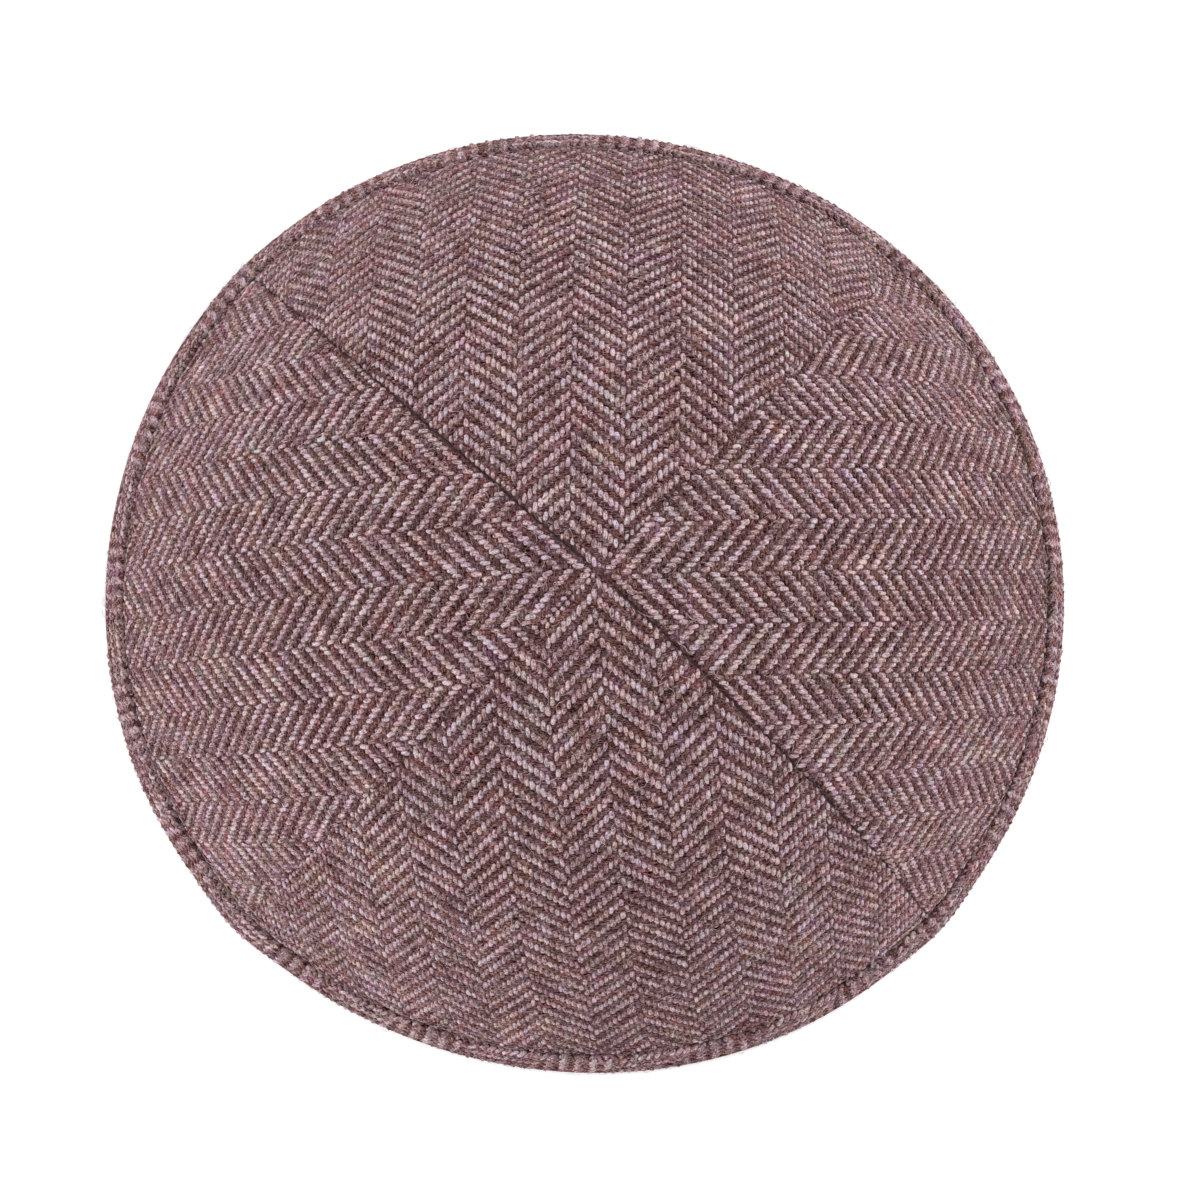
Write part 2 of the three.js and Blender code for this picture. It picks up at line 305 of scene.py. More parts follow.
def panel_cloth(name, panel):
    """The panel's closed body, whose inner faces have the second material, and the open
    sheet of its outer face that the yarns lie on."""
    grid = panel_grid(panel)
    rows, columns = grid["azimuth"].shape
    distance = grid["rows"][:, None] + 0 * grid["azimuth"]
    outer = crown_point(distance, grid["outer"], grid["azimuth"])
    inner = crown_point(distance, grid["inner"], grid["azimuth"])
    flat = crown_point(distance, 0 * distance, grid["azimuth"])[..., :2]
    square = np.stack([-np.sin(grid["azimuth"]), np.cos(grid["azimuth"])], axis=-1)
    cloth = ClothMap(panel)
    flat_outer = flat + square * grid["extra"][..., None]
    outer_uv, inner_uv = (
        np.stack([cloth.at(cloth.u, xy), cloth.at(cloth.v, xy)], axis=-1) for xy in (flat_outer, flat)
    )
    count = rows * columns
    faces = [grid_quads(rows, columns), grid_quads(rows, columns, count)[:, ::-1]]
    inside = np.repeat([0, 1], [len(faces[0]), len(faces[1])])
    down = np.arange(rows - 1) * columns
    for side in (0, columns - 1):
        strip = np.stack([down, down + count, down + count + columns, down + columns], axis=-1) + side
        faces.append(strip if side == 0 else strip[:, ::-1])
    over = np.arange(columns - 1)
    for row in (0, rows - 1):
        strip = np.stack([over, over + 1, over + 1 + count, over + count], axis=-1) + row * columns
        faces.append(strip if row == 0 else strip[:, ::-1])
    faces = np.concatenate(faces)
    uv = np.concatenate([outer_uv.reshape(-1, 2), inner_uv.reshape(-1, 2)])
    body = mesh_of(name, np.concatenate([outer.reshape(-1, 3), inner.reshape(-1, 3)]), faces, uv[faces])
    inside = np.concatenate([inside, np.ones(len(faces) - len(inside), int)])
    body.polygons.foreach_set("material_index", inside.astype(np.int32))
    kept = [3 if SEAMS[panel[end]]["roll"][0] > SHARP_ROLL else 2 for end in ("first", "last")]
    shown = (slice(1, rows - 1), slice(kept[0], columns - kept[1]))
    sheet_quads = grid_quads(rows - 2, columns - sum(kept))
    sheet_uv = outer_uv[shown].reshape(-1, 2)
    sheet = mesh_of("bed", outer[shown], sheet_quads, sheet_uv[sheet_quads])
    for way in cloth.ways:
        name_values(sheet, way, cloth.way_of(way, flat_outer[shown]).reshape(-1, 3))
    return body, sheet, (sheet_uv.min(axis=0), sheet_uv.max(axis=0))


# Yarn of the tweed
# Thick carded woollen yarn. The warp is dusty pink and the weft is heathered, a maroon
# blend of burgundy, charcoal and olive wool with a few brighter flecks. Fibres of both
# stand off the yarns, so no edge of a yarn is clean.


def add_node(tree, kind, ins=(), **settings):
    """A node with its settings, and its inputs linked or set."""
    node = tree.nodes.new(kind)
    for key, value in settings.items():
        setattr(node, key, value)
    for key, value in dict(ins).items():
        if isinstance(value, bpy.types.NodeSocket):
            tree.links.new(value, node.inputs[key])
        else:
            node.inputs[key].default_value = value
    return node


def add_math(tree, operation, *values):
    return add_node(tree, "ShaderNodeMath", dict(enumerate(values)), operation=operation).outputs[0]


def times(tree, first, second):
    return add_math(tree, "MULTIPLY", first, second)


def add_vector(tree, operation, vector, other):
    return add_node(tree, "ShaderNodeVectorMath", {0: vector, 1: other}, operation=operation).outputs[0]


def scaled(tree, vector, factor):
    ins = {0: vector, "Scale": factor}
    return add_node(tree, "ShaderNodeVectorMath", ins, operation="SCALE").outputs[0]


def add_range(tree, value, first, last, low, high):
    """The value, with the range from first to last brought to low to high."""
    ins = dict(enumerate((value, first, last, low, high)))
    return add_node(tree, "ShaderNodeMapRange", ins).outputs[0]


def add_noise(tree, vector, scale, detail=0, rough=0.5):
    ins = {"Vector": vector, "Scale": scale, "Detail": detail, "Roughness": rough}
    return add_node(tree, "ShaderNodeTexNoise", ins).outputs[0]


def split(tree, vector):
    return add_node(tree, "ShaderNodeSeparateXYZ", {0: vector}).outputs


def joined(tree, *parts):
    return add_node(tree, "ShaderNodeCombineXYZ", dict(enumerate(parts))).outputs[0]


def add_group(tree, group, **given):
    return add_node(tree, "ShaderNodeGroup", given, node_tree=group).outputs


def over_object(tree):
    return add_node(tree, "ShaderNodeTexCoord").outputs["Object"]


def new_tree(name, kind, given, made):
    """A node group with the names of its sockets by kind, and the values given to it."""
    tree = bpy.data.node_groups.new(name, kind)
    for way, sockets in (("INPUT", given), ("OUTPUT", made)):
        for value, names in sockets.items():
            for socket in names.split():
                tree.interface.new_socket(socket, in_out=way, socket_type="NodeSocket" + value)
    return tree, tree.nodes.new("NodeGroupInput").outputs


def new_material(name):
    """A material, its tree and its shader."""
    material = bpy.data.materials.new(name)
    material.use_nodes = True
    return material, material.node_tree, material.node_tree.nodes["Principled BSDF"]


def set_inputs(node, values):
    for name, value in values.items():
        node.inputs[name].default_value = value


def weighed(tree, pairs):
    """A half plus each source times its weight, with every source taken about its middle."""
    total = 0.5 - sum(0.5 * weight for _, weight in pairs)
    for source, weight in pairs:
        total = add_math(tree, "MULTIPLY_ADD", source, weight, total)
    return total


def ramp(tree, factor, stops):
    node = tree.nodes.new("ShaderNodeValToRGB")
    tree.links.new(factor, node.inputs[0])
    elements = node.color_ramp.elements
    while len(elements) < len(stops):
        elements.new(0.5)
    for element, (place, colour) in zip(elements, stops):
        element.position = place
        element.color = (*colour, 1)
    return node.outputs[0]


def wool_group():
    """Patterns of carded wool at a place in millimetres: streaks along the fibres, specks
    of single tufts, slower patches, and a second set of specks for the flecks. Drift,
    warmth and blend change slowly over the whole cloth, each by itself."""
    group, given = new_tree("Carded wool", "ShaderNodeTree", {"Vector": "Place", "Float": "Shade"},
                            {"Float": "Streaks Specks Patches Flecks Drift Warmth Blend"})
    out = group.nodes.new("NodeGroupOutput").inputs
    apart = times(group, given["Shade"], 37.0)
    place = add_vector(group, "ADD", given["Place"], joined(group, apart, apart, apart))
    along = {"Vector": place, "Rotation": (0, 0, 0.5), "Scale": (1.3, 5.5, 5.5)}
    combed = add_node(group, "ShaderNodeMapping", along).outputs[0]
    for name, vector, scale, detail, rough in (
        ("Streaks", combed, 1.0, 2, 0.6),
        ("Specks", place, 3.3, 2, 0.7),
        ("Patches", place, 1.1, 1, 0.5),
        ("Flecks", place, 2.6, 1, 0.5),
    ):
        group.links.new(add_noise(group, vector, scale, detail, rough), out[name])
    for name, apart in (("Drift", 0.0), ("Warmth", 0.31), ("Blend", 0.73)):
        moved = add_vector(group, "ADD", over_object(group), (apart, apart, apart))
        group.links.new(add_noise(group, moved, 190.0, 3, 0.7), out[name])
    return group


def hair_group():
    """Thin curly lines of single fibres that run on from yarn to yarn, pale and dark ones."""
    group, _ = new_tree("Stray hairs", "ShaderNodeTree", {}, {"Float": "Pale Dark"})
    out = group.nodes.new("NodeGroupOutput").inputs
    for name, turns, width in (
        ("Pale", ((0.3, 0.2, 0.5), (1.9, 0.9, 2.4), (1.1, 2.6, 0.2)), 0.055),
        ("Dark", ((0.8, 2.2, 1.5), (2.4, 0.3, 0.9)), 0.05),
    ):
        lines = 0.0
        for turn in turns:
            along = {"Vector": over_object(group), "Rotation": turn, "Scale": (800, 2300, 2300)}
            noise = add_noise(group, add_node(group, "ShaderNodeMapping", along).outputs[0], 1.0)
            away = add_math(group, "ABSOLUTE", add_math(group, "SUBTRACT", noise, 0.5))
            lines = add_math(group, "MAXIMUM", lines, add_range(group, away, 0.2 * width, width, 1, 0))
        group.links.new(lines, out[name])
    return group


WOOL = wool_group()
HAIRS = hair_group()


def finish_wool(tree, shader, colour, wool):
    """Sets what every wool has alike: its colour's socket, bump and soft sheen."""
    tree.links.new(colour, shader.inputs["Base Color"])
    height = weighed(tree, ((wool["Streaks"], 0.8), (wool["Specks"], 0.8)))
    bump = add_node(tree, "ShaderNodeBump", {"Height": height, "Strength": 0.7, "Distance": 0.00008})
    tree.links.new(bump.outputs[0], shader.inputs["Normal"])
    tree.links.new(add_range(tree, wool["Streaks"], 0, 1, 0.84, 0.98), shader.inputs["Roughness"])
    set_inputs(shader, {"Specular IOR Level": 0.02, "Sheen Weight": 0.4, "Sheen Roughness": 0.28,
                        "Sheen Tint": (1.0, 0.56, 0.62, 1)})


def mixed(tree, factor, first, second, blend="MIX"):
    ins = {0: factor, 6: first, 7: second}
    return add_node(tree, "ShaderNodeMix", ins, data_type="RGBA", blend_type=blend).outputs[2]


def with_flecks(tree, colour, wool, flecks):
    """The colour with rare tufts of other wool, each kind from the first to the second level."""
    for low, high, dyed in flecks:
        colour = mixed(tree, add_range(tree, wool["Flecks"], low, high, 0, 1), colour, (*dyed, 1))
    return colour


def with_hairs(tree, colour, hairs):
    """The colour with stray fibres drawn over it: each kind's strength and its colour."""
    drawn = add_group(tree, HAIRS)
    for kind, strength, dyed in hairs:
        colour = mixed(tree, times(tree, drawn[kind], strength), colour, (*dyed, 1))
    return colour


def yarn_material(name, stops, hues, flecks, hairs, size, edge_fibres_and_shade, painted_rim_sheen):
    """Wool of the floats. Stops are its shades from dark to light, hues the tints at both
    ends of warm to cool and of green to purple, and size a float's half length, half width
    and height in metres. The next value is how much darker a float is drawn round its edge
    and tips: partly darker fibres there, partly painted shade where floats meet and dive
    under one another. The last is a painted sheen towards the rim, for loose fibres seen
    edge-on there: it paints dark yarn paler and pale yarn darker, so for a pale yarn it
    is below nothing."""
    material, tree, shader = new_material(name)
    stored = ("local", "shade", "tint")
    local, shade, tint = (add_node(tree, "ShaderNodeAttribute", attribute_name=key).outputs for key in stored)
    in_mm = add_vector(tree, "MULTIPLY", local["Vector"], [1000 * s for s in size])
    wool = add_group(tree, WOOL, Place=in_mm, Shade=shade["Fac"])
    lengthwise, sidewise, _ = split(tree, local["Vector"])
    tip = add_math(tree, "POWER", lengthwise, 4.0)
    beside = add_math(tree, "MAXIMUM", add_math(tree, "ABSOLUTE", sidewise), tip)
    uneven = add_math(tree, "MULTIPLY_ADD", wool["Specks"], 0.9, beside)
    # Darker round the float's edge and tips: partly darker fibres, partly painted shade where floats meet.
    fibres_and_painted_shade = add_range(tree, uneven, 1.0, 1.45, 0.5, 0.5 - edge_fibres_and_shade)
    # Painted sheen: colour changed with height towards the rim, standing in for loose fibres seen edge-on
    # there.
    rim_sheen_level = add_range(tree, split(tree, over_object(tree))[2], 0.052, 0.015, 0.5, 0.5 + painted_rim_sheen)
    level = weighed(tree, (
        (wool["Streaks"], 1.9), (wool["Specks"], 1.8), (wool["Patches"], 0.9),
        (shade["Fac"], 0.16), (tint["Fac"], 0.8), (wool["Drift"], 1.1), (fibres_and_painted_shade, 1.0), (rim_sheen_level, 1.0),
    ))
    colour = ramp(tree, level, stops)
    warmth = ((wool["Warmth"], 2.1), (shade["Fac"], 0.5), (wool["Flecks"], 0.6))
    blend = ((wool["Blend"], 2.2), (tint["Fac"], 0.4))
    for sources, (first, last) in zip((warmth, blend), hues):
        dyed = ramp(tree, weighed(tree, sources), ((0.15, first), (0.5, (1, 1, 1)), (0.85, last)))
        colour = mixed(tree, 1.0, colour, dyed, "MULTIPLY")
    colour = with_hairs(tree, with_flecks(tree, colour, wool, flecks), hairs)
    finish_wool(tree, shader, colour, wool)
    return material


WARP_WOOL = yarn_material(
    "pink warp wool",
    ((0.16, (0.095, 0.030, 0.036)), (0.34, (0.235, 0.115, 0.130)), (0.5, (0.415, 0.262, 0.284)),
     (0.64, (0.575, 0.418, 0.45)), (0.86, (0.725, 0.582, 0.615))),
    (((1.085, 0.985, 0.90), (0.925, 1.01, 1.09)), ((0.97, 1.055, 0.95), (1.03, 0.945, 1.05))),
    ((0.72, 0.77, (0.26, 0.12, 0.09)), (0.29, 0.25, (0.10, 0.045, 0.045))),
    (("Dark", 0.55, (0.12, 0.050, 0.050)), ("Pale", 0.3, (0.68, 0.56, 0.58))),
    # Size, then edge darkening (partly darker fibres, partly painted shade), then painted rim sheen.
    (0.0010, 0.00052, 0.00025), 0.20, -0.07,
)
WEFT_WOOL = yarn_material(
    "maroon weft wool",
    ((0.20, (0.008, 0.001, 0.002)), (0.38, (0.028, 0.0016, 0.0040)), (0.5, (0.070, 0.0078, 0.0150)),
     (0.61, (0.130, 0.034, 0.042)), (0.74, (0.243, 0.123, 0.133)), (0.92, (0.385, 0.25, 0.265))),
    (((1.25, 0.94, 0.74), (0.83, 1.04, 1.22)), ((0.92, 1.22, 0.86), (1.08, 0.78, 1.11))),
    ((0.73, 0.78, (0.19, 0.055, 0.036)), (0.27, 0.23, (0.10, 0.060, 0.038))),
    (("Pale", 0.5, (0.34, 0.20, 0.18)), ("Dark", 0.7, (0.007, 0.003, 0.003))),
    # Size, then edge darkening (partly darker fibres, partly painted shade), then painted rim sheen.
    (0.00095, 0.00048, 0.00026), 0.10, 0.21,
)


def herringbone_group():
    """The weave drawn at a place in yarns: where the warp is on top, and the yarns' roundness."""
    group, given = new_tree("Herringbone", "ShaderNodeTree", {"Vector": "Place"}, {"Float": "Warp Height"})
    parts = split(group, given["Place"])

    def arch(source, middle, half):
        away = add_math(group, "MULTIPLY_ADD", source, 1 / half, -middle / half)
        return add_math(group, "MULTIPLY_ADD", add_math(group, "POWER", away, 2.0), -1.0, 1.0)

    end = add_math(group, "FLOOR", parts[0])
    place = add_math(group, "FLOORED_MODULO", end, float(COLUMN_ENDS))
    pair = add_math(group, "FLOORED_MODULO", end, 2.0 * COLUMN_ENDS)
    turned = add_math(group, "GREATER_THAN", pair, COLUMN_ENDS - 0.5)
    back = add_math(group, "MULTIPLY_ADD", place, -2.0, float(BREAK))
    step = add_math(group, "MULTIPLY_ADD", turned, back, place)
    phase = add_math(group, "FLOORED_MODULO", add_math(group, "SUBTRACT", parts[1], step), float(REPEAT))
    warp = add_math(group, "LESS_THAN", phase, float(OVER))
    over_end, over_pick = (arch(add_math(group, "FRACT", part), 0.5, 0.6) for part in parts[:2])
    warp_round = times(group, arch(phase, 1.0, 1.15), over_end)
    weft_round = times(group, arch(phase, 3.0, 1.3), over_pick)
    out = group.nodes.new("NodeGroupOutput").inputs
    group.links.new(warp, out["Warp"])
    group.links.new(add_math(group, "MAXIMUM", warp_round, weft_round), out["Height"])
    return group


COLUMN_ENDS = 10  # warp yarns in one column of the herringbone
REPEAT = 4  # picks in which the weave repeats
OVER = 2  # picks that a warp yarn passes over
BREAK = 11  # the step in the weave where one column turns into the next
HERRINGBONE = herringbone_group()


def drawn_weave(name, pitch, pale_share):
    """Cloth whose weave is drawn by colour and bump, where no floats lie: behind them and
    on the wrong side. Pale share is how much of the warp's pink shows."""
    material, tree, shader = new_material(name)
    uv = add_node(tree, "ShaderNodeUVMap", uv_map="cloth").outputs[0]
    in_yarns = add_vector(tree, "MULTIPLY", uv, (UV_SIDE / pitch[0], UV_SIDE / pitch[1], 1))
    wool = add_group(tree, WOOL, Place=scaled(tree, uv, 1000 * UV_SIDE), Shade=0.0)
    weave = add_group(tree, HERRINGBONE, Place=in_yarns)
    level = weighed(tree, (
        (wool["Streaks"], 1.5), (wool["Specks"], 2.1), (wool["Patches"], 0.8), (wool["Drift"], 0.7),
    ))
    dark, pale = (ramp(tree, level, list(zip((0.1, 0.5, 0.95), shades))) for shades in (
        ((0.009, 0.002, 0.003), (0.042, 0.008, 0.011), (0.18, 0.08, 0.078)),
        ((0.14, 0.07, 0.078), (0.40, 0.27, 0.29), (0.62, 0.49, 0.50)),
    ))
    colour = mixed(tree, times(tree, weave["Warp"], pale_share), dark, pale)
    colour = with_flecks(tree, colour, wool, ((0.72, 0.75, (0.26, 0.075, 0.045)),))
    finish_wool(tree, shader, with_hairs(tree, colour, (("Pale", 0.35, (0.36, 0.25, 0.25)),)), wool)
    bump = shader.inputs["Normal"].links[0].from_node
    ins = {"Height": weave["Height"], "Strength": 0.9, "Distance": 0.00022}
    tree.links.new(add_node(tree, "ShaderNodeBump", ins).outputs[0], bump.inputs["Normal"])
    return material


def weave_step(end):
    """The pick, within one repeat, at which a warp yarn comes up."""
    place = end % COLUMN_ENDS
    return np.where((end // COLUMN_ENDS) % 2 == 0, place, BREAK - place)


def twill_lean(ends):
    """Which way floats lean in each column, because the weave draws them towards its lines."""
    return np.where((ends // COLUMN_ENDS) % 2 == 0, -1.0, 1.0)


def warp_floats(low, high):
    """Middles of the warp's floats between two corners, in yarns, their lengths and lean."""
    found = []
    for end in np.arange(low[0], high[0]):
        first = low[1] + (weave_step(end) - low[1]) % REPEAT
        picks = np.arange(first, high[1], REPEAT)
        found.append(np.stack([np.full(len(picks), end + 0.5), picks + OVER / 2], axis=1))
    middles = np.concatenate(found)
    return middles, np.ones(len(middles)), twill_lean(middles[:, 0])


def weft_floats(low, high):
    """Middles of the weft's floats, which end where the herringbone turns, their lengths and lean."""
    found = []
    ends = np.arange(low[0], high[0])
    for pick in range(low[1], high[1]):
        on_top = (pick - weave_step(ends)) % REPEAT >= OVER
        change = np.flatnonzero(np.diff(np.concatenate([[False], on_top, [False]]).astype(int)))
        for start, stop in zip(change[::2], change[1::2]):
            found.append((low[0] + (start + stop) / 2, pick + 0.5, (stop - start) / 2))
    found = np.array(found)
    return found[:, :2], found[:, 2], -0.6 * twill_lean(found[:, 0])


def float_points(name, floats, corners, pitch, shift, start=UV_START, chosen=None):
    """A mesh with one point on the UV map for each float between two corners of cloth."""
    pitch, shift = np.array(pitch), np.array(shift)
    low = np.floor(corners[0] / pitch + shift).astype(int)
    high = np.ceil(corners[1] / pitch + shift).astype(int)
    middles, reach, lean = floats(low, high)
    places = (middles - shift) * pitch
    if chosen is not None:
        kept = chosen(places)
        places, reach, lean = places[kept], reach[kept], lean[kept]
    places = np.pad(places / UV_SIDE + np.array(start), ((0, 0), (0, 1)))
    mesh = bpy.data.meshes.new(name)
    mesh.from_pydata(places.tolist(), [], [])
    name_values(mesh, "woven_at", places)
    name_values(mesh, "reach", reach)
    name_values(mesh, "lean", lean)
    return mesh


def vary(tree, given, low, high, shift):
    """A random number for each element, from the tree's seed moved by a shift."""
    ins = {2: low, 3: high, "Seed": add_math(tree, "ADD", given["Seed"], shift)}
    return add_node(tree, "FunctionNodeRandomValue", ins, data_type="FLOAT").outputs[1]


def named_value(tree, name, kind="FLOAT_VECTOR"):
    return add_node(tree, "GeometryNodeInputNamedAttribute", {"Name": name}, data_type=kind).outputs[0]


def keep_value(tree, geometry, name, value, kind="FLOAT", domain="INSTANCE"):
    """The geometry with a value stored on it under a name."""
    ins = {"Geometry": geometry, "Name": name, "Value": value}
    return add_node(tree, "GeometryNodeStoreNamedAttribute", ins, data_type=kind, domain=domain).outputs[0]


def put(tree, geometry, key, value):
    """The geometry's points at another position, or moved by an offset."""
    return add_node(tree, "GeometryNodeSetPosition", {"Geometry": geometry, key: value}).outputs[0]


def turned_by(tree, rotation, turn):
    ins = {0: rotation, 1: turn}
    return add_node(tree, "FunctionNodeRotateRotation", ins, rotation_space="LOCAL").outputs[0]


def close_tree(tree, instances, given, painted, ragged=0.0):
    """Realizes the instances with their own shade, moves their points a little each way to
    make them ragged, and sets their material."""
    shaded = keep_value(tree, instances, "shade", vary(tree, given, 0, 1, 7))
    real = add_node(tree, "GeometryNodeRealizeInstances", {"Geometry": shaded}).outputs[0]
    uneven = add_node(tree, "ShaderNodeTexNoise", {"Scale": 1900.0, "Detail": 0}).outputs["Color"]
    moved = scaled(tree, add_vector(tree, "SUBTRACT", uneven, (0.5, 0.5, 0.5)), ragged)
    smooth = add_node(tree, "GeometryNodeSetShadeSmooth", {"Geometry": put(tree, real, "Offset", moved)})
    coloured = add_node(tree, "GeometryNodeSetMaterial", {"Geometry": smooth.outputs[0], "Material": painted})
    tree.links.new(coloured.outputs[0], tree.nodes.new("NodeGroupOutput").inputs[0])


def float_tree():
    """Lays plump floats of yarn along a sheet of cloth, one for each point of a mesh that
    holds the float's place on the cloth's UV map. Along is the way from a float's middle
    to its end on that map, and a float that would cross the sheet's edge is cut short."""
    tree, given = new_tree("Yarn floats", "GeometryNodeTree", {
        "Geometry": "Geometry", "Object": "Cloth", "String": "Way", "Vector": "Along Streak",
        "Float": "Length Width Height Lift Dip Wander Lean Ragged", "Int": "Sides Rings Seed",
        "Material": "Yarn",
    }, {"Geometry": "Geometry"})
    bed = add_node(tree, "GeometryNodeObjectInfo", {"Object": given["Cloth"]}).outputs["Geometry"]
    place = add_node(tree, "GeometryNodeInputPosition").outputs[0]
    normal = add_node(tree, "GeometryNodeInputNormal").outputs[0]
    woven_at, reach = named_value(tree, "woven_at"), named_value(tree, "reach", "FLOAT")

    def on_cloth(value, spot):
        ins = {"Mesh": bed, "Value": value, "Source UV Map": named_value(tree, "cloth"), "Sample UV": spot}
        return add_node(tree, "GeometryNodeSampleUVSurface", ins, data_type="FLOAT_VECTOR").outputs

    def at_share(share):
        return add_vector(tree, "ADD", woven_at, scaled(tree, to_end, share))

    to_end = scaled(tree, given["Along"], reach)
    ahead_on, behind_on = (on_cloth(place, at_share(share))[1] for share in (1.0, -1.0))
    spot = at_share(times(tree, add_math(tree, "SUBTRACT", ahead_on, behind_on), 0.36))
    shortened = add_math(tree, "MULTIPLY_ADD", add_math(tree, "ADD", ahead_on, behind_on), 0.4, 0.2)
    at, up = on_cloth(place, spot), on_cloth(normal, spot)[0]
    ahead = on_cloth(named_value(tree, given["Way"]), spot)[0]

    axes = add_node(tree, "FunctionNodeAxesToRotation", {"Primary Axis": up, "Secondary Axis": ahead},
                    primary_axis="Z", secondary_axis="X").outputs[0]
    wander = times(tree, vary(tree, given, -1, 1, 1), given["Wander"])
    angle = add_math(tree, "MULTIPLY_ADD", named_value(tree, "lean", "FLOAT"), given["Lean"], wander)
    spin = add_node(tree, "FunctionNodeAxisAngleToRotation", {"Axis": (0, 0, 1), "Angle": angle}).outputs[0]
    turned = turned_by(tree, axes, spin)
    ranges = (("Length", 0.46, 0.56), ("Width", 0.44, 0.54), ("Height", 0.8, 1.2))
    sizes = [
        times(tree, given[size], vary(tree, given, low, high, 2 + k))
        for k, (size, low, high) in enumerate(ranges)
    ]
    sizes[0] = times(tree, sizes[0], times(tree, reach, shortened))
    sizes[1] = times(tree, sizes[1], add_math(tree, "MULTIPLY_ADD", shortened, 0.5, 0.5))
    lift = add_math(tree, "MULTIPLY_ADD", vary(tree, given, -1, 1, 5), 0.00004, given["Lift"])
    lifted = add_vector(tree, "ADD", at[0], scaled(tree, up, lift))
    points = put(tree, given["Geometry"], "Position", lifted)

    ins = {"Segments": given["Sides"], "Rings": given["Rings"], "Radius": 1}
    ball = add_node(tree, "GeometryNodeMeshUVSphere", ins).outputs["Mesh"]
    ins = {"Geometry": ball, "Rotation": (0, math.pi / 2, 0)}
    laid = add_node(tree, "GeometryNodeTransform", ins).outputs[0]
    lengthwise, sidewise, upwards = split(tree, place)
    squared = add_math(tree, "POWER", lengthwise, 2.0)
    blunt = times(tree, squared, 0.36)
    dip = times(tree, squared, given["Dip"])
    raised = add_math(tree, "SUBTRACT", times(tree, upwards, blunt), dip)
    offset = joined(tree, 0.0, times(tree, sidewise, blunt), raised)
    named = keep_value(tree, laid, "local", place, "FLOAT_VECTOR", "POINT")
    floats = add_node(tree, "GeometryNodeInstanceOnPoints", {
        "Points": points, "Selection": at[1], "Instance": put(tree, named, "Offset", offset),
        "Rotation": turned, "Scale": joined(tree, *sizes),
    }).outputs[0]
    drawn = add_vector(tree, "MULTIPLY", woven_at, given["Streak"])
    tinted = keep_value(tree, floats, "tint", add_noise(tree, drawn, 1.0, 1))
    close_tree(tree, tinted, given, given["Yarn"], given["Ragged"])
    return tree


def run_tree(piece, tree, values):
    """Runs a tree on an object and keeps the result as its plain mesh. Wool that would reach
    below the rim is pressed flat by the table."""
    modifier = piece.modifiers.new(tree.name, "NODES")
    modifier.node_group = tree
    for item in tree.interface.items_tree:
        if item.in_out == "INPUT" and item.name in values:
            modifier[item.identifier] = values[item.name]
    graph = bpy.context.evaluated_depsgraph_get()
    graph.update()
    mesh = bpy.data.meshes.new_from_object(piece.evaluated_get(graph), depsgraph=graph)
    piece.modifiers.remove(modifier)
    piece.data = mesh
    mesh.name = piece.name
    points = np.empty(3 * len(mesh.vertices), np.float32)
    mesh.vertices.foreach_get("co", points)
    points[2::3] = np.maximum(points[2::3], 0)
    mesh.vertices.foreach_set("co", points)
    return piece


FLOAT_TREE = float_tree()
FLOATS = {
    "warp": {"Length": 0.00194, "Width": 0.00104, "Height": 0.00028, "Lift": 0.00008, "Dip": 0.5,
             "Way": "warp_way", "Ragged": 0.00038, "Sides": 5, "Rings": 4, "Yarn": WARP_WOOL},
    "weft": {"Length": 0.00205, "Width": 0.00100, "Height": 0.00024, "Lift": 0.00001, "Dip": 0.4,
             "Way": "weft_way", "Ragged": 0.00030, "Sides": 4, "Rings": 3, "Yarn": WEFT_WOOL},
}


def lay_floats(side, bed, corners, pitch, shift, seed, lean, **more):
    """The warp's and the weft's floats of one cloth, as two pieces."""
    made = []
    for kind, floats, along, streak in (
        ("warp", warp_floats, (0, pitch[1], 0), (0.8 / pitch[0], 90.0, 0)),
        ("weft", weft_floats, (pitch[0], 0, 0), (110.0, 0.9 / pitch[1], 0)),
    ):
        points = float_points(f"{kind}_{side}", floats, corners, pitch, shift, **more)
        piece = add_object(points.name, points)
        values = {
            **FLOATS[kind], "Cloth": bed, "Wander": 0.10, "Lean": lean, "Seed": seed,
            "Along": [size / UV_SIDE for size in along], "Streak": [size * UV_SIDE for size in streak],
        }
        made.append(run_tree(piece, FLOAT_TREE, values))
    return made


USUAL_PITCH = (0.00091, 0.00082)
GROUND = drawn_weave("tweed between its floats", USUAL_PITCH, 0.0)
WRONG_SIDE = drawn_weave("tweed wrong side", USUAL_PITCH, 1.0)
beds, cloths = {}, {}
for number, (side, panel) in enumerate(PANELS.items()):
    body, sheet, corners = panel_cloth(f"tweed_{side}", panel)
    tweed = add_object(f"tweed_{side}", body)
    body.materials.append(GROUND)
    body.materials.append(WRONG_SIDE)
    beds[side] = add_object(f"bed_{side}", sheet)
    floats = lay_floats(side, beds[side], corners, panel["pitch"], panel["shift"], 10 * number, 0.17)
    cloths[side] = (tweed, *floats)
    for piece in cloths[side]:
        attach(piece, "root")
        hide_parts(f"panel_{side}")

# Edge binding
# A strip of the same tweed, cut on the bias, folded round the rim and sewn down, so the
# weave runs at 45 degrees to the rim. Its edges are turned under. The cap stands on the fold.
INNER_LEG = 0.0058
FOLD_ROOM = 0.0004
EDGE_GAP = 0.0003
BIAS = math.radians(45)
BIAS_PITCH = (0.000969, 0.000976)  # the yarns lie further apart, because the strip is stretched
BIAS_SHIFT = (3.54, 0.49)
BIAS_JOIN = math.radians(-45)  # where the strip's two ends meet
BIAS_UV_START = (0.02, 0.98)
BIAS_STEPS = 320
EDGE_WAVES = ((0.00012, 9, 0.4), (0.00009, 23, 1.9))  # depth, repeats round the rim, start
CORNER_POINTS, LEG_POINTS = 5, 4  # of the section, in a rounded corner and along a leg


